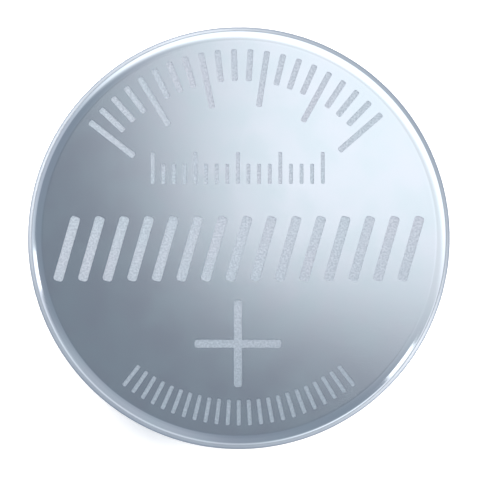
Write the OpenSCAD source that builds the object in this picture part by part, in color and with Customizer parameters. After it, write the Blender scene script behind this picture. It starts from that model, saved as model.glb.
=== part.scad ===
// Lithium coin cell with all its pieces: a deep-drawn steel can that is the positive pole, a pressed
// steel cap with a refolded edge that is the negative pole, the plastic gasket that the crimped can
// squeezes between them, and the discs sealed inside.
// The cell lies on its cap. The origin is the middle of the cap's contact face, +Z runs through the
// positive face, and +X lies along the collector's rows of diamonds. Sizes are in millimetres.

/* [Cell] */
// Outside diameter of the can
cell_d = 20; // [16:0.1:24.5]
// Height from the negative contact face to the positive face
cell_h = 3.2; // [2.8:0.1:5]

/* [Positive can] */
// Thickness of the can's steel sheet
can_t = 0.25; // [0.2:0.01:0.3]
// Outside radius of the shoulder between the positive face and the wall
shoulder_r = 0.75; // [0.5:0.05:0.9]
// Outside radius of the crimped lip
crimp_r = 0.9; // [0.75:0.05:1]
// Angle through which the lip is rolled, from the wall
crimp_turn = 105; // [95:1:115]
// How far the lip stays behind the negative contact face
crimp_setback = 0.15; // [0.1:0.01:0.25]

/* [Negative cap] */
// Thickness of the cap's steel sheet
cap_t = 0.25; // [0.2:0.01:0.3]
// Width of the groove between the lip's edge and the raised boss of the cap
boss_groove = 0.55; // [0.45:0.05:0.8]
// Outside radius of the boss's edge
boss_edge_r = 0.4; // [0.3:0.05:0.45]
// Radius of the corner where the boss meets the flange
boss_foot_r = 0.2; // [0.1:0.05:0.2]
// Outside radius of the bend from the flange to the skirt
skirt_bend_r = 0.35; // [0.3:0.05:0.4]
// Slit left inside the refolded edge of the skirt
fold_slit = 0.04; // [0.02:0.01:0.08]
// Distance from the flange's outer side to the free end of the fold
fold_end_gap = 0.45; // [0.35:0.05:0.6]

/* [Gasket] */
// Space for the gasket between the can's wall and the folded skirt
gasket_wall_t = 0.3; // [0.25:0.01:0.4]
// Space for the gasket between the can's floor and the fold
gasket_floor_t = 0.35; // [0.25:0.01:0.45]
// Space for the gasket between the lip and the cap's flange
gasket_crimp_t = 0.3; // [0.25:0.01:0.35]
// Thickness of the gasket's inner lip, inside the skirt
gasket_lip_t = 0.29; // [0.2:0.01:0.35]
// Distance from the flange to the end of the inner lip
gasket_lip_gap = 0.55; // [0.4:0.05:0.7]
// Play between the gasket and the two steel parts
fit_play = 0.02; // [0.01:0.01:0.03]

/* [Contents] */
// Play between the lithium disc and the boss's wall
lithium_play = 0.25; // [0.15:0.05:0.6]
// How far the lithium disc stands above the inner side of the flange
lithium_proud = 0.05; // [0:0.01:0.15]
// Play between the separator's rim and the gasket's inner lip
separator_play = 0.13; // [0.05:0.01:0.3]
// Thickness of the separator felt
separator_t = 0.15; // [0.1:0.01:0.2]
// Height to which the separator is turned up round the pellet
separator_rim_h = 0.9; // [0.5:0.05:1]
// Outside radius of the separator's turned corner
separator_bend_r = 0.25; // [0.22:0.01:0.3]
// Play between the cathode pellet and the separator's rim
cathode_play = 0.02; // [0.02:0.01:0.1]
// Chamfer on the pellet's edges
cathode_chamfer = 0.15; // [0.1:0.05:0.25]

/* [Current collector] */
// Thickness of the expanded steel mesh
collector_t = 0.1; // [0.05:0.01:0.15]
// Play between the mesh and the pellet's rim
collector_play = 0.1; // [0:0.05:0.5]
// Long way of one diamond of the mesh
mesh_long = 1.9; // [1.7:0.1:2.2]
// Short way of one diamond of the mesh
mesh_short = 1.6; // [1.4:0.1:2]
// Width of the strands between the diamonds
mesh_strand = 0.32; // [0.2:0.02:0.4]
// Plain margin left round the mesh
mesh_margin = 0.3; // [0.2:0.05:0.6]

/* [Hidden] */
$fn = 128;

// Can: radii and heights of its two rounded edges
can_r = cell_d / 2;
can_floor_z = cell_h - can_t;
shoulder_c = [can_r - shoulder_r, cell_h - shoulder_r];
crimp_c = [can_r - crimp_r, crimp_setback + crimp_r];
lip_end = crimp_c + crimp_r * [cos(crimp_turn), -sin(crimp_turn)];
lip_back = crimp_c + (crimp_r - can_t - fit_play) * [cos(crimp_turn), -sin(crimp_turn)];

// Cap: the boss, the flange, and the skirt with its edge folded outwards and back
boss_r = lip_end.x - boss_groove;
flange_z = crimp_setback + can_t + gasket_crimp_t;
boss_foot_c = [boss_r + boss_foot_r, flange_z - boss_foot_r];
fold_out_r = can_r - can_t - gasket_wall_t;
fold_round_r = cap_t + fold_slit / 2;
fold_c = [fold_out_r - fold_round_r, can_floor_z - gasket_floor_t - fold_round_r];
skirt_r = fold_c.x - fold_slit / 2;
skirt_bend_c = [skirt_r - skirt_bend_r, flange_z + skirt_bend_r];
fold_end_z = flange_z + fold_end_gap;

// Gasket: its inner lip, and its rounded end in the groove between lip and boss
inner_lip_r = skirt_r - cap_t - fit_play;
inner_lip_end_z = flange_z + cap_t + gasket_lip_gap;
bead_r = (flange_z - fit_play - lip_back.y) / 2;
bead_c = [lip_end.x - boss_groove / 2 + bead_r / 2, lip_back.y + bead_r];

// Contents, stacked from the cap up to the can's floor
lithium_r = boss_r - cap_t - lithium_play;
lithium_t = flange_z + lithium_proud;
separator_z = cap_t + lithium_t;
separator_r = inner_lip_r - gasket_lip_t - separator_play;
cathode_z = separator_z + separator_t;
cathode_r = separator_r - separator_t - cathode_play;
collector_z = can_floor_z - collector_t;
collector_r = cathode_r - collector_play;

// Half-section of a body of revolution whose lower outer edge is rounded
module low_rounded(r, low, high, edge_r) {
    polygon([[0, low], [r - edge_r, low], [r - edge_r, low + edge_r], [r, low + edge_r],
             [r, high], [0, high]]);
    translate([r - edge_r, low + edge_r]) circle(edge_r);
}

// Half-section of the space inside the can's surface, drawn inwards by inset. Below the crimp's
// centre only the circle that the lip is rolled round belongs to it.
module can_fill(inset) {
    wall = can_r - inset;
    polygon([[0, crimp_c.y], [wall, crimp_c.y], [wall, shoulder_c.y], shoulder_c,
             [shoulder_c.x, cell_h - inset], [0, cell_h - inset]]);
    translate(shoulder_c) circle(shoulder_r - inset);
    translate(crimp_c) circle(crimp_r - inset);
}

// Everything on the axis side of the cut end of the lip
module lip_mouth() {
    reach = 2 * crimp_r;
    polygon([crimp_c, crimp_c + reach * [cos(crimp_turn), -sin(crimp_turn)], [0, -reach],
             [0, crimp_c.y + can_t], [crimp_c.x, crimp_c.y + can_t]]);
}

module positive_can() {
    color("silver")
        rotate_extrude()
            difference() {
                can_fill(0);
                can_fill(can_t);
                lip_mouth();
            }
}

// Half-section of the space under the cap's outer surface as far as the fold, drawn inwards by inset
module cap_fill(inset) {
    low_rounded(boss_r - inset, inset, flange_z + skirt_bend_r, boss_edge_r - inset);
    low_rounded(skirt_r - inset, flange_z + inset, fold_c.y, skirt_bend_r - inset);
    boss_foot(inset);
}

// Fillet between the boss's wall and the flange
module boss_foot(inset) {
    difference() {
        translate([boss_r - inset - cap_t, boss_foot_c.y])
            square([boss_foot_r + inset + cap_t, boss_foot_r + inset + cap_t / 2]);
        translate(boss_foot_c) circle(boss_foot_r + inset);
    }
}

// The doubled edge of the skirt as one strip with a round end, grown by grow on every side
module fold_fill(grow) {
    width = fold_out_r - skirt_r + cap_t + 2 * grow;
    translate([skirt_r - cap_t - grow, fold_end_z - grow])
        square([width, fold_c.y - fold_end_z + grow]);
    translate(fold_c) circle(fold_round_r + grow);
}

module fold_slit_fill() {
    translate([skirt_r, fold_end_z - cap_t])
        square([fold_slit, fold_c.y - fold_end_z + cap_t]);
    translate(fold_c) circle(fold_slit / 2);
}

module negative_cap() {
    color("lightgray")
        rotate_extrude() {
            difference() {
                cap_fill(0);
                cap_fill(cap_t);
            }
            difference() {
                fold_fill(0);
                fold_slit_fill();
            }
        }
}

// Ring of gasket between the lip and the flange, ending in a round bead in the groove
module gasket_bead() {
    translate([bead_c.x, lip_back.y]) square([lip_back.x - bead_c.x, 2 * bead_r]);
    translate([skirt_bend_c.x, lip_back.y])
        square([skirt_bend_r + fit_play, skirt_bend_c.y - lip_back.y]);
    translate(bead_c) circle(bead_r);
}

// Foot of the gasket on the can's floor, with the inner lip that hugs the skirt
module gasket_foot() {
    foot_in = inner_lip_r - gasket_lip_t;
    foot_top = can_floor_z - fit_play;
    end_r = gasket_lip_t / 2;
    translate([foot_in, inner_lip_end_z + end_r])
        square([gasket_lip_t, foot_top - inner_lip_end_z - end_r]);
    translate([foot_in + end_r, inner_lip_end_z + end_r]) circle(end_r);
    translate([foot_in, fold_c.y]) square([shoulder_c.x - foot_in, foot_top - fold_c.y]);
}

module gasket() {
    color("dimgray")
        rotate_extrude()
            difference() {
                union() {
                    difference() {
                        can_fill(can_t + fit_play);
                        translate([0, -cell_h]) square([lip_back.x, 2 * cell_h]);
                    }
                    gasket_bead();
                    gasket_foot();
                }
                fold_fill(fit_play);
                difference() {
                    cap_fill(-fit_play);
                    translate([inner_lip_r - gasket_lip_t, inner_lip_end_z])
                        square([gasket_lip_t, cell_h]);
                }
            }
}

module lithium_anode() {
    color("gainsboro")
        translate([0, 0, cap_t]) cylinder(r = lithium_r, h = lithium_t);
}

// Felt disc whose edge is turned up round the pellet
module separator() {
    color("white")
        rotate_extrude()
            difference() {
                low_rounded(separator_r, separator_z, separator_z + separator_rim_h,
                            separator_bend_r);
                low_rounded(separator_r - separator_t, cathode_z, cell_h,
                            separator_bend_r - separator_t);
            }
}

module cathode_pellet() {
    high = collector_z;
    color("darkslategray")
        rotate_extrude()
            polygon([[0, cathode_z], [cathode_r - cathode_chamfer, cathode_z],
                     [cathode_r, cathode_z + cathode_chamfer], [cathode_r, high - cathode_chamfer],
                     [cathode_r - cathode_chamfer, high], [0, high]]);
}

// One opening of the mesh, a diamond between the strands
module mesh_diamond() {
    half_x = (mesh_long - mesh_strand * mesh_long / mesh_short) / 2;
    half_y = (mesh_short - mesh_strand) / 2;
    polygon([[half_x, 0], [0, half_y], [-half_x, 0], [0, -half_y]]);
}

// Rows of diamonds, every second row shifted by half a diamond, as far as the plain margin
module mesh_openings() {
    reach = collector_r - mesh_margin;
    rows = ceil(reach / (mesh_short / 2));
    columns = ceil(reach / mesh_long);
    for (row = [-rows:rows], column = [-columns:columns]) {
        x = (column + (abs(row) % 2) / 2) * mesh_long;
        y = row * mesh_short / 2;
        if (norm([abs(x) + mesh_long / 2, y]) < reach && norm([x, abs(y) + mesh_short / 2]) < reach)
            translate([x, y]) mesh_diamond();
    }
}

module cathode_collector() {
    color("slategray")
        translate([0, 0, collector_z])
            linear_extrude(collector_t)
                difference() {
                    circle(collector_r);
                    mesh_openings();
                }
}

positive_can();
negative_cap();
gasket();
lithium_anode();
separator();
cathode_pellet();
cathode_collector();
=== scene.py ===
# A lithium coin cell, seen from straight above as it lies on its cap with the positive face up. Its
# pieces come in the order can, collector, pellet, separator, gasket, cap and lithium disc. The floor,
# the light and the camera come last.
import math

import bmesh
import bpy
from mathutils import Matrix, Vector
from mathutils.geometry import delaunay_2d_cdt


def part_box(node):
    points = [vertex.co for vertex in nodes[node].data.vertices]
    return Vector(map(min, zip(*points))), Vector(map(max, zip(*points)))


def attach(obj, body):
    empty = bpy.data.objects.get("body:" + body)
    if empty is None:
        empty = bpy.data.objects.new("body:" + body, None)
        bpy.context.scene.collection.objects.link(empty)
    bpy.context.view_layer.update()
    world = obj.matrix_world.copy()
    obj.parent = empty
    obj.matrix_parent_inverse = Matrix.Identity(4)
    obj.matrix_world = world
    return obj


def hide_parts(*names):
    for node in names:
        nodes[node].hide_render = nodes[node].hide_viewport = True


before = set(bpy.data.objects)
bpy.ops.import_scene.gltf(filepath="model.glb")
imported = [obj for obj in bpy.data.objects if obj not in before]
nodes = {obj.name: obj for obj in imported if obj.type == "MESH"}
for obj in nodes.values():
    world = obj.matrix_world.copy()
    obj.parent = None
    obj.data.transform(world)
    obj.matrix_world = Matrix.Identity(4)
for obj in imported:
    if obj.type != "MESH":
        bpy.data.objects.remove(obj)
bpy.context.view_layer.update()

# The positive can is one cup, deep-drawn from nickel-plated stainless steel sheet. Its rim is rolled
# in over the gasket, which closes the cell for good. The flat face keeps the satin of the sheet, and
# the marks are etched a few hundredths of a millimetre deep and stay matt.
# All sizes are in millimetres and all angles in degrees. MM turns a size into metres.
MM = 0.001
SEGMENTS = 240
SHARP_ANGLE = 35
WELD_METRES = 1e-7

SHEET = 0.25
SHOULDER_R = 0.75
CRIMP_R = 0.9
CRIMP_TURN = 105
LIP_EDGE = 0.03
# The outermost ring of the flat face is turned with the shoulder, so that the two shade as one.
FLAT_BORDER = 0.04
ETCH_DEPTH = 0.02

low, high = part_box("positive_can")
can_r, can_low, can_top = high.x / MM, low.z / MM, high.z / MM
face_r = can_r - SHOULDER_R
shoulder_c = (face_r, can_top - SHOULDER_R)
crimp_c = (can_r - CRIMP_R, can_low + CRIMP_R)


def on_circle(centre, radius, angle):
    """The point (r, z) of a circle at an angle from the outward direction up to +Z."""
    radians = math.radians(angle)
    return (centre[0] + radius * math.cos(radians), centre[1] + radius * math.sin(radians))


def arc(centre, radius, start, end, steps):
    """Evenly spread points of a circle, from one angle to another."""
    return [on_circle(centre, radius, start + (end - start) * i / steps) for i in range(steps + 1)]


def spot(r, radians, z):
    """A point in metres, from a radius, the angle round the axis in radians and a height."""
    return Vector((r * math.cos(radians), r * math.sin(radians), z)) * MM


def turn(mesh, profile):
    """Revolves a profile of points (r, z) round the axis, into a bmesh in metres."""
    rings = []
    for r, z in profile:
        count = SEGMENTS if r > 0 else 1
        rings.append([mesh.verts.new(spot(r, 2 * math.pi * k / count, z)) for k in range(count)])
    for first, second in zip(rings, rings[1:]):
        for k in range(SEGMENTS):
            corners = [first[k % len(first)], second[k % len(second)],
                       second[(k + 1) % len(second)], first[(k + 1) % len(first)]]
            face = mesh.faces.new(list(dict.fromkeys(corners)))
            face.smooth = True


# Every etched stroke has rounded corners. Their radius is a share of its width.
STROKE_ROUND = 0.3
CORNER_STEPS = 3


def turned(point, angle, x=0, y=0):
    """A point of the face turned round the origin, then moved."""
    c, s = math.cos(math.radians(angle)), math.sin(math.radians(angle))
    return (x + point[0] * c - point[1] * s, y + point[0] * s + point[1] * c)


def stroke(x, y, length, width, angle):
    """Outline of one etched stroke on the face, from its middle and the way that it runs."""
    corner = STROKE_ROUND * width
    points = []
    for start, side_x, side_y in ((0, 1, 1), (90, -1, 1), (180, -1, -1), (270, 1, -1)):
        centre = (side_x * (length / 2 - corner), side_y * (width / 2 - corner))
        points += arc(centre, corner, start, start + 90, CORNER_STEPS)
    return [turned(p, angle, x, y) for p in points]


# The plus sign marks the positive pole, as on any cell.
PLUS_X, PLUS_Y, PLUS_SPAN, PLUS_WIDTH = -0.04, -4.97, 4.08, 0.383


def plus_sign():
    """Outline of the plus sign, arm by arm, each from its end to the inner corner after it."""
    arm, half, corner = PLUS_SPAN / 2, PLUS_WIDTH / 2, STROKE_ROUND * PLUS_WIDTH
    outline = arc((arm - corner, -half + corner), corner, -90, 0, CORNER_STEPS)
    outline += arc((arm - corner, half - corner), corner, 0, 90, CORNER_STEPS) + [(half, half)]
    return [turned(p, angle, PLUS_X, PLUS_Y) for angle in (0, 90, 180, 270) for p in outline]


# The other marks are plain rulings in the bands where a cell is marked: radial ticks at the top, a
# short straight scale under them, slanted bars across the middle and fine radial ticks at the foot.
# Every fourth tick of the first two is a long one.
LONG_EVERY = 4
TOP_TICKS, TOP_START, TOP_STEP, TOP_OUTER_R = 21, 142, -5.05, 8.9
TOP_LONG, TOP_SHORT, TOP_WIDTH = 2.65, 1.5, 0.28
SCALE_TICKS, SCALE_START_X, SCALE_STEP, SCALE_FOOT_Y = 17, -4.05, 0.5, 2.55
SCALE_LONG, SCALE_SHORT, SCALE_WIDTH, SCALE_ANGLE = 1.5, 0.95, 0.18, 90
BARS, BAR_END_X, BAR_Y = 15, 8.1, -0.5
BAR_LENGTH, BAR_WIDTH, BAR_ANGLE = 3.15, 0.46, 74
FOOT_TICKS, FOOT_START, FOOT_END, FOOT_R = 23, 232, 308, 8.22
FOOT_LENGTH, FOOT_WIDTH = 1.2, 0.19

marks = [plus_sign()]
for i in range(TOP_TICKS):
    angle = TOP_START + TOP_STEP * i
    length = TOP_SHORT if i % LONG_EVERY else TOP_LONG
    middle = turned((TOP_OUTER_R - length / 2, 0), angle)
    marks.append(stroke(*middle, length, TOP_WIDTH, angle))
for i in range(SCALE_TICKS):
    length = SCALE_SHORT if i % LONG_EVERY else SCALE_LONG
    middle = (SCALE_START_X + SCALE_STEP * i, SCALE_FOOT_Y + length / 2)
    marks.append(stroke(*middle, length, SCALE_WIDTH, SCALE_ANGLE))
for i in range(BARS):
    middle = (-BAR_END_X + 2 * BAR_END_X * i / (BARS - 1), BAR_Y)
    marks.append(stroke(*middle, BAR_LENGTH, BAR_WIDTH, BAR_ANGLE))
for i in range(FOOT_TICKS):
    angle = FOOT_START + (FOOT_END - FOOT_START) * i / (FOOT_TICKS - 1)
    marks.append(stroke(*turned((FOOT_R, 0), angle), FOOT_LENGTH, FOOT_WIDTH, angle))

# The can's second finish is the etched one. FILL_INSIDE asks for triangles within the outlines only.
ETCHED_SLOT = 1
FILL_INSIDE, FILL_TOLERANCE = 1, 1e-6


def etched_face(mesh, radius, z, outlines, depth):
    """Fills the flat face up to radius, with each outline sunk by depth as a pocket of its own."""
    angles = [2 * math.pi * k / SEGMENTS for k in range(SEGMENTS)]
    rim = [(radius * math.cos(a), radius * math.sin(a)) for a in angles]
    points, loops = [], []
    for outline in [rim] + outlines:
        loops.append(list(range(len(points), len(points) + len(outline))))
        points += [Vector(p) for p in outline]
    flat, _, triangles, _, _, origins = delaunay_2d_cdt(
        points, [], loops, FILL_INSIDE, FILL_TOLERANCE)
    # A triangle inside a mark comes from two outlines, the rim and the mark. It is sunk.
    is_sunk = [len(origin) > 1 for origin in origins]
    sunk = {i for corners, sinks in zip(triangles, is_sunk) if sinks for i in corners}
    top = [mesh.verts.new((p.x * MM, p.y * MM, z * MM)) for p in flat]
    bottom = {i: mesh.verts.new((flat[i].x * MM, flat[i].y * MM, (z - depth) * MM))
              for i in sorted(sunk)}
    sides = set()
    for corners, sinks in zip(triangles, is_sunk):
        if sinks:
            mesh.faces.new([bottom[i] for i in corners]).material_index = ETCHED_SLOT
            sides.update(zip(corners, corners[1:] + corners[:1]))
        else:
            mesh.faces.new([top[i] for i in corners])
    # A side that only one sunk triangle has is the edge of a pocket, so a wall stands on it.
    for a, b in sorted(sides):
        if (b, a) not in sides:
            wall = mesh.faces.new([top[a], top[b], bottom[b], bottom[a]])
            wall.material_index = ETCHED_SLOT


def piece(name, mesh, materials):
    """Welds a bmesh, turns its faces outwards and makes it an object with these materials."""
    bmesh.ops.remove_doubles(mesh, verts=mesh.verts, dist=WELD_METRES)
    bmesh.ops.recalc_face_normals(mesh, faces=mesh.faces)
    data = bpy.data.meshes.new(name)
    mesh.to_mesh(data)
    mesh.free()
    data.set_sharp_from_angle(angle=math.radians(SHARP_ANGLE))
    for material in materials:
        data.materials.append(material)
    made = bpy.data.objects.new(name, data)
    bpy.context.scene.collection.objects.link(made)
    return made


def number(tree, operation, *values):
    """Adds a Math node and gives its output. A value is a number or a socket."""
    node = tree.nodes.new("ShaderNodeMath")
    node.operation = operation
    for socket, value in zip(node.inputs, values):
        if isinstance(value, (int, float)):
            socket.default_value = value
        else:
            tree.links.new(value, socket)
    return node.outputs[0]


def ease(tree, value, start, end, first=0.0, last=1.0):
    """Goes smoothly from first to last as the value goes from start to end."""
    node = tree.nodes.new("ShaderNodeMapRange")
    node.interpolation_type = "SMOOTHSTEP"
    tree.links.new(value, node.inputs["Value"])
    for name, limit in (("From Min", start), ("From Max", end), ("To Min", first), ("To Max", last)):
        node.inputs[name].default_value = limit
    return node.outputs["Result"]


def shader_group(name, output, **inputs):
    """A shader node group with these inputs and one output, and the sockets inside it for them."""
    made = bpy.data.node_groups.new(name, "ShaderNodeTree")
    for socket_name, value in inputs.items():
        socket = made.interface.new_socket(
            socket_name, in_out="INPUT", socket_type="NodeSocketFloat")
        socket.default_value = value
    made.interface.new_socket(output, in_out="OUTPUT", socket_type="NodeSocketFloat")
    given = made.nodes.new("NodeGroupInput").outputs
    result = made.nodes.new("NodeGroupOutput").inputs[output]
    return made, given, result


def place_mm(tree):
    """The place on a piece in millimetres."""
    node = tree.nodes.new("ShaderNodeVectorMath")
    node.operation = "SCALE"
    node.inputs["Scale"].default_value = 1 / MM
    tree.links.new(tree.nodes.new("ShaderNodeTexCoord").outputs["Object"], node.inputs[0])
    return node.outputs[0]


def place_part(tree, axis):
    """The X, Y or Z part of the place on a piece in millimetres."""
    node = tree.nodes.new("ShaderNodeSeparateXYZ")
    tree.links.new(place_mm(tree), node.inputs[0])
    return node.outputs[axis]


def stretched(tree, place, grain_size, angle=0.0, shift=(0, 0, 0)):
    """The place turned and stretched, so that a noise of scale 1 has grains of this size."""
    node = tree.nodes.new("ShaderNodeMapping")
    node.vector_type = "TEXTURE"
    node.inputs["Location"].default_value = shift
    node.inputs["Rotation"].default_value = (0, 0, math.radians(angle))
    node.inputs["Scale"].default_value = grain_size
    tree.links.new(place, node.inputs["Vector"])
    return node.outputs["Vector"]


def noise(tree, vector, scale=1.0, detail=2.0, roughness=0.5):
    """Adds a Noise Texture and gives its value. The scale is a number or a socket."""
    node = tree.nodes.new("ShaderNodeTexNoise")
    node.inputs["Detail"].default_value = detail
    node.inputs["Roughness"].default_value = roughness
    tree.links.new(vector, node.inputs["Vector"])
    if isinstance(scale, (int, float)):
        node.inputs["Scale"].default_value = scale
    else:
        tree.links.new(scale, node.inputs["Scale"])
    return node.outputs["Fac"]


# Soft patches, from 0 to 1, as large as Size in millimetres.
cloud, given, result = shader_group("cloud", "Patches", Size=3.0)
scale = number(cloud, "DIVIDE", 1.0, given["Size"])
patches = noise(cloud, place_mm(cloud), scale, detail=3.0, roughness=0.55)
cloud.links.new(ease(cloud, patches, 0.3, 0.7), result)

# Fine grain, from 0 to 1, with grains about as large as Size in millimetres.
grain, given, result = shader_group("grain", "Grains", Size=0.05)
scale = number(grain, "DIVIDE", 0.7, given["Size"])
grains = noise(grain, place_mm(grain), scale, roughness=0.6)
grain.links.new(ease(grain, grains, 0.32, 0.68), result)

# Hairline scratches in a few directions, mostly faint. They come in worn areas about as large as
# Size in millimetres, and much of the surface has none.
SCRATCH_SIZE = (3, 0.045, 1)
SCRATCH_WAYS = ((12, 3.1), (71, 8.7), (128, 5.3))

scratches, given, result = shader_group("scratches", "Lines", Size=2.5, Amount=0.5)
where = place_mm(scratches)
worn = noise(scratches, where, number(scratches, "DIVIDE", 0.5, given["Size"]))
found = 0.0
for angle, shift in SCRATCH_WAYS:
    along_lines = stretched(scratches, where, SCRATCH_SIZE, angle, (shift, shift, 0))
    line = noise(scratches, along_lines, detail=1.0)
    found = number(scratches, "MAXIMUM", ease(scratches, line, 0.70, 0.76), found)
found = number(scratches, "MULTIPLY", found, ease(scratches, worn, 0.45, 0.62))
scratches.links.new(number(scratches, "MULTIPLY", found, given["Amount"]), result)


def effect(tree, group, **values):
    """Places a group in a material with its own values and gives its output."""
    node = tree.nodes.new("ShaderNodeGroup")
    node.node_tree = group
    for name, value in values.items():
        node.inputs[name].default_value = value
    return node.outputs[0]


def mixed(tree, factor, first, second):
    """A colour that goes from first to second with the factor. Each is a colour or a socket."""
    node = tree.nodes.new("ShaderNodeMix")
    node.data_type = "RGBA"
    tree.links.new(factor, node.inputs["Factor"])
    # A Mix node has inputs for numbers, vectors and colours. Those for colours are 6 and 7.
    for socket, colour in ((node.inputs[6], first), (node.inputs[7], second)):
        if isinstance(colour, tuple):
            socket.default_value = (*colour, 1)
        else:
            tree.links.new(colour, socket)
    return node.outputs[2]


def bumped(tree, height, distance_mm):
    """A normal from a height between 0 and 1, where 1 stands for so many millimetres."""
    node = tree.nodes.new("ShaderNodeBump")
    node.inputs["Distance"].default_value = distance_mm * MM
    tree.links.new(height, node.inputs["Height"])
    return node.outputs["Normal"]


def finish(name, metallic):
    """A new material, its node tree and its Principled shader."""
    made = bpy.data.materials.new(name)
    made.use_nodes = True
    shader = made.node_tree.nodes["Principled BSDF"]
    shader.inputs["Metallic"].default_value = metallic
    return made, made.node_tree, shader


# Satin steel. The wall and the low half of the shoulder are painted darker than the face, a painted
# dark reflection, and they are a little rougher.
WALL_TOP, WALL_FADE = 3.03, 0.05
WALL_FOOT, FOOT_FADE = 0.16, 0.25
FACE_TONES = (0.572, 0.598, 0.643), (0.556, 0.607, 0.645)
# The wall tones are a painted dark reflection, darker than the steel of the face.
PAINTED_DARK_WALL_TONES = (0.267, 0.3, 0.345), (0.288, 0.323, 0.37)
SATIN_ROUGH, PATCH_ROUGH, WALL_ROUGH, SCRATCH_ROUGH = 0.105, 0.02, 0.06, 0.06
SATIN_EDGE_TINT = (0.4, 0.45, 0.52)

satin, tree, shader = finish("satin_nickel_steel", metallic=1)
patches = effect(tree, cloud, Size=1.8)
grains = effect(tree, grain, Size=0.03)
lines = effect(tree, scratches, Size=2.5, Amount=0.15)
height = place_part(tree, "Z")
# This mask paints the dark reflection onto the wall and low shoulder, and also makes them rougher.
rougher_and_painted_dark = number(tree, "MULTIPLY", ease(tree, height, WALL_TOP, WALL_TOP - WALL_FADE),
               ease(tree, height, WALL_FOOT, WALL_FOOT + FOOT_FADE))
face_tone = mixed(tree, patches, *FACE_TONES)
painted_dark_wall_tone = mixed(tree, patches, *PAINTED_DARK_WALL_TONES)
tree.links.new(mixed(tree, rougher_and_painted_dark, face_tone, painted_dark_wall_tone), shader.inputs["Base Color"])
rough = number(tree, "MULTIPLY_ADD", patches, PATCH_ROUGH, SATIN_ROUGH)
rough = number(tree, "MULTIPLY_ADD", rougher_and_painted_dark, WALL_ROUGH, rough)
rough = number(tree, "MULTIPLY_ADD", lines, SCRATCH_ROUGH, rough)
tree.links.new(rough, shader.inputs["Roughness"])
relief = number(tree, "SUBTRACT", number(tree, "MULTIPLY", grains, 0.3), lines)
tree.links.new(bumped(tree, relief, 0.0006), shader.inputs["Normal"])
shader.inputs["Specular Tint"].default_value = (*SATIN_EDGE_TINT, 1)

# Etched steel, matt and finely speckled. The marks are painted darker towards the foot of the face,
# a painted shade.
SHADE_START_Y, SHADE_FULL_Y = 0.5, -8.5
PITTED_TONES = (0.50, 0.545, 0.585), (0.535, 0.55, 0.595)
RAISED_TONES = (0.665, 0.71, 0.745), (0.705, 0.71, 0.75)
# These darker tones are painted shade for the marks near the foot of the face.
PAINTED_SHADE_TONES = (0.36, 0.405, 0.452), (0.478, 0.525, 0.572)
ETCH_ROUGH = 0.75

etched, tree, shader = finish("etched_steel", metallic=0.35)
speckle = effect(tree, grain, Size=0.062)
patches = effect(tree, cloud, Size=4.0)
pitted = mixed(tree, patches, *PITTED_TONES)
raised = mixed(tree, patches, *RAISED_TONES)
unshaded_mark_tone = mixed(tree, speckle, pitted, raised)
painted_shade_tone = mixed(tree, speckle, *PAINTED_SHADE_TONES)
# Painted shade: the marks go over to the darker tones towards the foot of the face.
painted_shade = ease(tree, place_part(tree, "Y"), SHADE_START_Y, SHADE_FULL_Y)
tree.links.new(mixed(tree, painted_shade, unshaded_mark_tone, painted_shade_tone), shader.inputs["Base Color"])
shader.inputs["Roughness"].default_value = ETCH_ROUGH
tree.links.new(bumped(tree, speckle, 0.004), shader.inputs["Normal"])

# The lip's sheared end has its two edges rounded by the die.
edge_turn = math.degrees(LIP_EDGE / CRIMP_R)
lip = arc(crimp_c, CRIMP_R, 0, edge_turn - CRIMP_TURN, steps=40)
lip += [on_circle(crimp_c, CRIMP_R - LIP_EDGE, -CRIMP_TURN)]
lip += [on_circle(crimp_c, CRIMP_R - SHEET + LIP_EDGE, -CRIMP_TURN)]
lip += arc(crimp_c, CRIMP_R - SHEET, edge_turn - CRIMP_TURN, 0, steps=30)
can_profile = [(face_r - FLAT_BORDER, can_top)]
can_profile += arc(shoulder_c, SHOULDER_R, 90, 0, steps=40) + lip
can_profile += arc(shoulder_c, SHOULDER_R - SHEET, 0, 90, steps=20)
can_profile += [(0, can_top - SHEET)]

shell = bmesh.new()
etched_face(shell, face_r - FLAT_BORDER, can_top, marks, ETCH_DEPTH)
turn(shell, can_profile)
can = piece("can_shell", shell, [satin, etched])
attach(can, "root")
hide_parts("positive_can")

# The current collector is a disc of expanded stainless steel, slit and drawn into diamonds. It lies
# on the inside of the can's floor and carries the current from the pellet into the can.
COLLECTOR_TONES = (0.50, 0.51, 0.52), (0.60, 0.61, 0.62)
COLLECTOR_SCRATCHED = (0.70, 0.71, 0.72)

expanded, tree, shader = finish("expanded_steel", metallic=1)
patches = effect(tree, cloud, Size=1.2)
grains = effect(tree, grain, Size=0.05)
lines = effect(tree, scratches, Size=1.0, Amount=0.8)
tone = mixed(tree, patches, *COLLECTOR_TONES)
tree.links.new(mixed(tree, lines, tone, COLLECTOR_SCRATCHED), shader.inputs["Base Color"])
tree.links.new(number(tree, "MULTIPLY_ADD", patches, 0.12, 0.28), shader.inputs["Roughness"])
tree.links.new(bumped(tree, grains, 0.004), shader.inputs["Normal"])


def dress(node, material):
    """Gives a CAD piece its finish."""
    slots = nodes[node].data.materials
    if slots:
        slots[0] = material
    else:
        slots.append(material)


dress("cathode_collector", expanded)

# The cathode is a tablet of manganese dioxide with a little carbon and binder, pressed hard in a
# die. Its faces are smooth from the punch and its grains still show as a dark, dull speckle.
PELLET_TONES = (0.022, 0.022, 0.024), (0.036, 0.035, 0.036)
PELLET_SPECK = (0.09, 0.09, 0.095)

powder, tree, shader = finish("pressed_powder", metallic=0)
patches = effect(tree, cloud, Size=2.0)
grains = effect(tree, grain, Size=0.06)
tone = mixed(tree, patches, *PELLET_TONES)
specks = ease(tree, grains, 0.75, 1.0)
tree.links.new(mixed(tree, specks, tone, PELLET_SPECK), shader.inputs["Base Color"])
tree.links.new(number(tree, "MULTIPLY_ADD", grains, 0.25, 0.6), shader.inputs["Roughness"])
tree.links.new(bumped(tree, grains, 0.012), shader.inputs["Normal"])
dress("cathode_pellet", powder)

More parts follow.
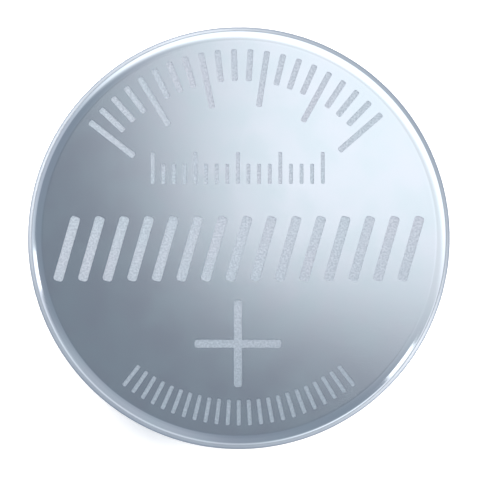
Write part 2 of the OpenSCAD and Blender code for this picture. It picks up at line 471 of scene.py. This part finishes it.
# The separator is a disc of white nonwoven polypropylene felt, its edge turned up round the tablet
# by the tool that seats it. Fine bonded fibres cross in every direction.
FIBRE_SIZE = (1.1, 0.07, 0.16)
FIBRE_WAYS = ((5, 1.7), (38, 6.1), (74, 2.9), (111, 9.4), (149, 4.2))
FELT_TONES = (0.74, 0.74, 0.72), (0.80, 0.80, 0.785)
FELT_FIBRE = (0.90, 0.90, 0.885)

felt, tree, shader = finish("nonwoven_felt", metallic=0)
where = place_mm(tree)
web = 0.0
for angle, shift in FIBRE_WAYS:
    along_fibres = stretched(tree, where, FIBRE_SIZE, angle, (shift, 2 * shift, shift))
    fibres = ease(tree, noise(tree, along_fibres, detail=1.0), 0.52, 0.66)
    web = number(tree, "MAXIMUM", fibres, web)
patches = effect(tree, cloud, Size=0.8)
tone = mixed(tree, patches, *FELT_TONES)
tree.links.new(mixed(tree, web, tone, FELT_FIBRE), shader.inputs["Base Color"])
shader.inputs["Roughness"].default_value = 0.85
shader.inputs["Sheen Weight"].default_value = 0.15
tree.links.new(bumped(tree, web, 0.02), shader.inputs["Normal"])
dress("separator", felt)

# The gasket is one moulded ring of polypropylene, J-shaped in section, dark with the film of sealant
# that it is coated with. The crimp squeezes it between can and cap, and its bead shows in the groove.
# Its profile runs from the bead along the can's side and back along the cap's. The cap's skirt, bend
# and fold are measured here, because the gasket follows them.
GASKET_PLAY = 0.02
GASKET_BEAD_C, GASKET_BEAD_R = (8.652, 0.561), 0.119
GASKET_LIP_R, GASKET_LIP, GASKET_LIP_END = 8.89, 0.29, 1.5
SKIRT_R, SKIRT_BEND_C, SKIRT_BEND_R = 9.16, (8.81, 1.05), 0.35
FOLD_C, FOLD_ROUND, FOLD_END = (9.18, 2.33), 0.27, 1.15
GASKET_TONES = (0.018, 0.018, 0.020), (0.034, 0.034, 0.036)

seat = SHEET + GASKET_PLAY
lip_round = GASKET_LIP / 2
lip_c = (GASKET_LIP_R - lip_round, GASKET_LIP_END + lip_round)
fold_foot = FOLD_END - GASKET_PLAY
ring = arc(GASKET_BEAD_C, GASKET_BEAD_R, 90, 270, steps=16)
ring += arc(crimp_c, CRIMP_R - seat, -CRIMP_TURN, 0, steps=30)
ring += arc(shoulder_c, SHOULDER_R - seat, 0, 90, steps=20)
ring += [(GASKET_LIP_R - GASKET_LIP, can_top - seat)]
ring += arc(lip_c, lip_round, 180, 360, steps=16)
ring += arc(FOLD_C, FOLD_ROUND + GASKET_PLAY, 180, 0, steps=24)
ring += [(FOLD_C[0] + FOLD_ROUND + GASKET_PLAY, fold_foot), (SKIRT_R + GASKET_PLAY, fold_foot)]
ring += arc(SKIRT_BEND_C, SKIRT_BEND_R + GASKET_PLAY, 0, -90, steps=16) + ring[:1]

moulded, tree, shader = finish("coated_polypropylene", metallic=0)
patches = effect(tree, cloud, Size=0.7)
grains = effect(tree, grain, Size=0.04)
tree.links.new(mixed(tree, patches, *GASKET_TONES), shader.inputs["Base Color"])
tree.links.new(number(tree, "MULTIPLY_ADD", patches, 0.18, 0.38), shader.inputs["Roughness"])
tree.links.new(bumped(tree, grains, 0.003), shader.inputs["Normal"])

body = bmesh.new()
turn(body, ring)
gasket = piece("gasket_ring", body, [moulded])
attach(gasket, "root")
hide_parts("gasket")

# The negative cap is pressed from stainless steel sheet: a flat boss that is the contact face, a
# flange, and a skirt whose edge is folded outwards and back so that the crimp has something to grip.
# Its profile runs along the side that faces out of the cell and back along the side that faces in.
CAP_SHEET = 0.25
BOSS_R, BOSS_EDGE, BOSS_FOOT_C, BOSS_FOOT = 8.317, 0.4, (8.517, 0.5), 0.2
FOLD_SLIT = 0.04
CAP_TONES = (0.575, 0.59, 0.61), (0.60, 0.615, 0.635)
CAP_BRUSHED, CAP_SCRATCHED = (0.67, 0.685, 0.705), (0.74, 0.75, 0.765)
BRUSH_SIZE, BRUSH_ANGLE = (3.5, 0.05, 1), 28

boss_c = (BOSS_R - BOSS_EDGE, BOSS_EDGE)
outside = [(0, 0)] + arc(boss_c, BOSS_EDGE, -90, 0, steps=20)
outside += arc(BOSS_FOOT_C, BOSS_FOOT, 180, 90, steps=12)
outside += arc(SKIRT_BEND_C, SKIRT_BEND_R, -90, 0, steps=16)
outside += arc(FOLD_C, FOLD_SLIT / 2, 180, 0, steps=8)
outside += [(FOLD_C[0] + FOLD_SLIT / 2, FOLD_END), (FOLD_C[0] + FOLD_ROUND, FOLD_END)]
inside = arc(FOLD_C, FOLD_ROUND, 0, 180, steps=24)
inside += arc(SKIRT_BEND_C, SKIRT_BEND_R - CAP_SHEET, 0, -90, steps=12)
inside += arc(BOSS_FOOT_C, BOSS_FOOT + CAP_SHEET, 90, 180, steps=16)
inside += arc(boss_c, BOSS_EDGE - CAP_SHEET, 0, -90, steps=12) + [(0, CAP_SHEET)]

pressed, tree, shader = finish("satin_cap_steel", metallic=1)
patches = effect(tree, cloud, Size=2.2)
lines = effect(tree, scratches, Size=2.0, Amount=0.9)
along_brushing = stretched(tree, place_mm(tree), BRUSH_SIZE, BRUSH_ANGLE)
brushed = ease(tree, noise(tree, along_brushing, detail=3.0, roughness=0.6), 0.3, 0.7)
half_brushed = number(tree, "MULTIPLY", brushed, 0.5)
tone = mixed(tree, half_brushed, mixed(tree, patches, *CAP_TONES), CAP_BRUSHED)
tree.links.new(mixed(tree, lines, tone, CAP_SCRATCHED), shader.inputs["Base Color"])
rough = number(tree, "MULTIPLY_ADD", brushed, 0.07, 0.2)
tree.links.new(number(tree, "MULTIPLY_ADD", lines, -0.06, rough), shader.inputs["Roughness"])
relief = number(tree, "SUBTRACT", half_brushed, lines)
tree.links.new(bumped(tree, relief, 0.0012), shader.inputs["Normal"])

body = bmesh.new()
turn(body, outside + inside)
cap = piece("cap_pressing", body, [pressed])
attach(cap, "root")
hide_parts("negative_cap")

# The anode is a disc punched from lithium foil and pressed onto the inside of the cap. The metal is
# soft and rolled, and a dull grey film has formed on it.
STREAK_SIZE = (4, 1 / 9, 1)
FOIL_TONES = (0.50, 0.50, 0.52), (0.66, 0.66, 0.68)
FOIL_STREAK = (0.72, 0.72, 0.735)

foil, tree, shader = finish("lithium_foil", metallic=1)
patches = effect(tree, cloud, Size=1.6)
streaks = noise(tree, stretched(tree, place_mm(tree), STREAK_SIZE))
tone = mixed(tree, patches, *FOIL_TONES)
bright = ease(tree, streaks, 0.45, 0.75)
tree.links.new(mixed(tree, bright, tone, FOIL_STREAK), shader.inputs["Base Color"])
tree.links.new(number(tree, "MULTIPLY_ADD", patches, -0.15, 0.6), shader.inputs["Roughness"])
tree.links.new(bumped(tree, streaks, 0.01), shader.inputs["Normal"])
dress("lithium_anode", foil)

# The floor is a plain pale table. What the camera and the steel see of it is lifted to white, and the
# cell's shadow stays on it. From below it is clear, so that the underside can be seen.
FLOOR_HALF = 1200
FLOOR_DROP = 0.02
FLOOR_TONE = (0.75, 0.75, 0.75)
FLOOR_LIFT = 0.46

floor_mesh = bmesh.new()
bmesh.ops.create_grid(floor_mesh, x_segments=1, y_segments=1, size=FLOOR_HALF * MM)
floor_data = bpy.data.meshes.new("floor")
floor_mesh.to_mesh(floor_data)
floor_mesh.free()
floor = bpy.data.objects.new("floor", floor_data)
floor.location.z = -FLOOR_DROP * MM
bpy.context.scene.collection.objects.link(floor)

table, tree, surface = finish("pale_table", metallic=0)
surface.inputs["Base Color"].default_value = (*FLOOR_TONE, 1)
surface.inputs["Roughness"].default_value = 1
surface.inputs["Specular IOR Level"].default_value = 0
surface.inputs["Emission Color"].default_value = (1, 1, 1, 1)
path = tree.nodes.new("ShaderNodeLightPath")
seen = number(tree, "ADD", path.outputs["Is Camera Ray"], path.outputs["Is Glossy Ray"])
seen = number(tree, "ADD", seen, path.outputs["Is Transmission Ray"])
seen = number(tree, "MINIMUM", seen, 1.0)
tree.links.new(number(tree, "MULTIPLY", seen, FLOOR_LIFT), surface.inputs["Emission Strength"])
clear = tree.nodes.new("ShaderNodeBsdfTransparent")
side = tree.nodes.new("ShaderNodeMixShader")
tree.links.new(tree.nodes.new("ShaderNodeNewGeometry").outputs["Backfacing"], side.inputs["Fac"])
tree.links.new(surface.outputs["BSDF"], side.inputs[1])
tree.links.new(clear.outputs["BSDF"], side.inputs[2])
tree.links.new(side.outputs["Shader"], tree.nodes["Material Output"].inputs["Surface"])
floor_data.materials.append(table)

# Three small lamps stand over the table, past the top, the left and the lower right of the cell. They
# light only the table, and the can's side shows it. A little warmth evens out the bluish ceiling.
LAMP_OUT, LAMP_HEIGHT, LAMP_R = 19.0, 9.0, 3.0
LAMP_COLOUR = (1.0, 0.88, 0.77)
LAMP_AZIMUTHS_AND_WATTS = ((104, 0.011), (162, 0.012), (328, 0.0135))

lit = bpy.data.collections.new("lamps_light")
lit.objects.link(floor)
for azimuth, watts in LAMP_AZIMUTHS_AND_WATTS:
    lamp_data = bpy.data.lights.new("table_lamp", "POINT")
    lamp_data.energy = watts
    lamp_data.color = LAMP_COLOUR
    lamp_data.shadow_soft_size = LAMP_R * MM
    lamp = bpy.data.objects.new("table_lamp", lamp_data)
    lamp.location = spot(LAMP_OUT, math.radians(azimuth), LAMP_HEIGHT)
    lamp.visible_camera = False
    lamp.light_linking.receiver_collection = lit
    bpy.context.scene.collection.objects.link(lamp)

# The light is a studio painted by direction, so it is the same wherever the camera stands. A dim
# bluish ceiling hangs over the cell, one large soft box stands up and to the right, and low pale
# panels stand round the table. Heights are given by z, the sine of the angle over the horizon.
BOX_HEIGHT = 116.0
BOX_WIDENS, BOX_FAR_LEANS = 0.3, (0.08, 0.28)
BOX_TINT = (0.965, 1.0, 1.03)
CEILING_TINT = (0.865, 1.0, 1.18)
PANEL_TINT = (1.0, 1.0, 1.0)
SIDE_TINT = (1.0, 0.98, 1.04)

world = bpy.data.worlds.new("studio")
bpy.context.scene.world = world
world.use_nodes = True
sky = world.node_tree
coords = sky.nodes.new("ShaderNodeTexCoord")
split = sky.nodes.new("ShaderNodeSeparateXYZ")
sky.links.new(coords.outputs["Generated"], split.inputs[0])
x, y, z = split.outputs
# How far a direction leans out from the vertical: 0 straight up and 1 at the horizon.
lean = number(sky, "SUBTRACT", 1.0, number(sky, "MULTIPLY", z, z))
lean = number(sky, "SQRT", number(sky, "MAXIMUM", lean, 1e-6))


def along(x_part, y_part, z_part):
    """A weighted sum of the three parts of the direction."""
    flat_part = number(sky, "ADD", number(sky, "MULTIPLY", x, x_part),
                       number(sky, "MULTIPLY", y, y_part))
    return number(sky, "MULTIPLY_ADD", z, z_part, flat_part)


def box_edge(azimuth, past, soft, spread, wrap):
    """Crosses an edge of the soft box, which faces an azimuth and shows so many millimetres past the
    cell's middle. It is soft millimetres wide there. The more a direction leans, the wider it is, and
    far out it also spreads and wraps round."""
    radians = math.radians(azimuth)
    reach = number(sky, "MULTIPLY", lean, BOX_HEIGHT)
    far = ease(sky, lean, *BOX_FAR_LEANS)
    wrapped = number(sky, "MULTIPLY", far, wrap)
    widened = number(sky, "MULTIPLY_ADD", far, spread, BOX_WIDENS)
    middle = along(math.cos(radians) * BOX_HEIGHT, math.sin(radians) * BOX_HEIGHT, past)
    inwards = number(sky, "MULTIPLY_ADD", wrapped, reach, middle)
    width = number(sky, "MULTIPLY_ADD", widened, reach, number(sky, "MULTIPLY", z, soft))
    return ease(sky, number(sky, "DIVIDE", inwards, width), -1, 1)


def cosine_off(azimuth):
    """The cosine of the angle between a direction's azimuth and this one."""
    radians = math.radians(azimuth)
    return number(sky, "DIVIDE", along(math.cos(radians), math.sin(radians), 0.0), lean)


def product(*values):
    """The product of two or more values, of which the first is a socket."""
    result = values[0]
    for value in values[1:]:
        result = number(sky, "MULTIPLY", result, value)
    return result


def panel(azimuth, across, down, level):
    """A pale panel that stands at an azimuth. Across is where it starts at its sides and where it is
    full, as cosines of the angle off the azimuth. Down is the same from its top, as heights."""
    return product(ease(sky, cosine_off(azimuth), *across), ease(sky, z, *down), level)


def tinted(colour, strength):
    """A coloured light of this strength. The colour is a colour or a socket."""
    node = sky.nodes.new("ShaderNodeVectorMath")
    node.operation = "SCALE"
    if isinstance(colour, tuple):
        node.inputs[0].default_value = colour
    else:
        sky.links.new(colour, node.inputs[0])
    sky.links.new(strength, node.inputs["Scale"])
    return node.outputs[0]


def lights(*parts):
    """Several coloured lights together."""
    result = parts[0]
    for part in parts[1:]:
        node = sky.nodes.new("ShaderNodeVectorMath")
        node.operation = "ADD"
        sky.links.new(result, node.inputs[0])
        sky.links.new(part, node.inputs[1])
        result = node.outputs[0]
    return result


# The soft box is what lies inside both of its edges. It is brightest straight up.
box = product(box_edge(9.8, past=2.0, soft=3.1, spread=0.26, wrap=0.125),
              box_edge(77.9, past=1.9, soft=2.1, spread=0.2, wrap=0.225))
box_level = ease(sky, z, 0.94, 0.985, first=1.3, last=1.58)
dark = number(sky, "SUBTRACT", 1.0, box)

# A white panel stands in front of the box. Its upper edge is highest and sharpest in its middle.
WHITE_AZIMUTH, WHITE_ACROSS, WHITE_LEVEL = 62, (0.1, 0.6), 1.95
WHITE_TOP_MIDDLE, WHITE_TOP_SIDE = 0.86, 0.33
WHITE_SOFT_MIDDLE, WHITE_SOFT_SIDE, WHITE_SOFT_MOST = 0.1, 0.5, 0.3

towards = cosine_off(WHITE_AZIMUTH)
white_top = number(sky, "MULTIPLY_ADD", towards, WHITE_TOP_MIDDLE - WHITE_TOP_SIDE, WHITE_TOP_SIDE)
soft = number(sky, "MULTIPLY_ADD", towards, WHITE_SOFT_MIDDLE - WHITE_SOFT_SIDE, WHITE_SOFT_SIDE)
soft = number(sky, "MINIMUM", soft, WHITE_SOFT_MOST)
under_top = number(sky, "DIVIDE", number(sky, "SUBTRACT", white_top, z), soft)
white_panel = product(ease(sky, under_top, -1, 1), ease(sky, towards, *WHITE_ACROSS))
rest = number(sky, "SUBTRACT", 1.0, white_panel)

# Where neither of them is, there are the ceiling, a faint haze in it, the low panels and a pale
# horizon. Two narrow upright strips make the small highlights on the shoulder.
STRIP_LEFT, STRIP_RIGHT, STRIP_ACROSS = 189, 322.7, (0.9938, 0.998)
STRIP_DOWN, STRIP_UP, STRIP_LEVEL = (0.62, 0.56), (0.1, 0.26), 2.5

ceiling = ease(sky, z, 0.955, 0.996, first=0.44, last=0.33)
haze = number(sky, "ADD", panel(235, across=(0.82, 0.99), down=(0.985, 0.94), level=0.19),
              panel(238, across=(0.5, 0.97), down=(0.93, 0.72), level=0.08))
side_panel = panel(150, across=(0.2, 0.8), down=(0.52, 0.4), level=0.4)
low_panels = number(sky, "ADD", panel(245, across=(0.1, 0.7), down=(0.34, 0.2), level=0.42),
                    panel(330, across=(0.5, 0.9), down=(0.24, 0.1), level=1.1))
horizon = ease(sky, z, 0.1, 0.05, first=0.0, last=0.08)
low_light = number(sky, "ADD", low_panels, horizon)
strips = number(sky, "ADD", ease(sky, cosine_off(STRIP_LEFT), *STRIP_ACROSS),
                ease(sky, cosine_off(STRIP_RIGHT), *STRIP_ACROSS))
strips = product(strips, ease(sky, z, *STRIP_DOWN), ease(sky, z, *STRIP_UP), STRIP_LEVEL)

box_light = number(sky, "ADD", product(box, rest, box_level), product(white_panel, WHITE_LEVEL))
panel_light = number(sky, "ADD", strips, product(dark, rest, number(sky, "ADD", haze, low_light)))
light = lights(tinted(BOX_TINT, box_light),
               tinted(CEILING_TINT, product(dark, rest, ceiling)),
               tinted(PANEL_TINT, panel_light),
               tinted(SIDE_TINT, product(dark, rest, side_panel)))

# Under the table the light is plain and soft, a little brighter on one side.
UNDER_BRIGHT_WAY = (0.55, 0.45, -0.3)

under = ease(sky, z, 0.0, -0.1)
under_level = ease(sky, along(*UNDER_BRIGHT_WAY), -0.6, 0.9, first=0.65, last=1.15)
light = lights(tinted(light, number(sky, "SUBTRACT", 1.0, under)),
               tinted(BOX_TINT, product(under, under_level)))
sky.links.new(light, sky.nodes["Background"].inputs["Color"])

# The camera looks straight down. A 480-pixel frame shows 21.1 pixels to the millimetre, with the
# cell a little up and to the left of its middle. That scale holds where the cell is widest, at the
# foot of the shoulder.
PIXELS, PIXELS_PER_MM = 480, 21.1
OFF_X, OFF_Y = 0.054, -0.089
LENS, SENSOR = 180, 36
NEAREST = 1

frame_width = PIXELS / PIXELS_PER_MM * MM
distance = frame_width / 2 / (SENSOR / 2 / LENS)
camera_data = bpy.data.cameras.new("camera")
camera_data.lens = LENS
camera_data.sensor_width = SENSOR
camera_data.clip_start = NEAREST * MM
camera = bpy.data.objects.new("camera", camera_data)
camera.location = (OFF_X * MM, OFF_Y * MM, distance + shoulder_c[1] * MM)
bpy.context.scene.collection.objects.link(camera)
bpy.context.scene.camera = camera
bpy.context.scene.view_settings.view_transform = "Standard"
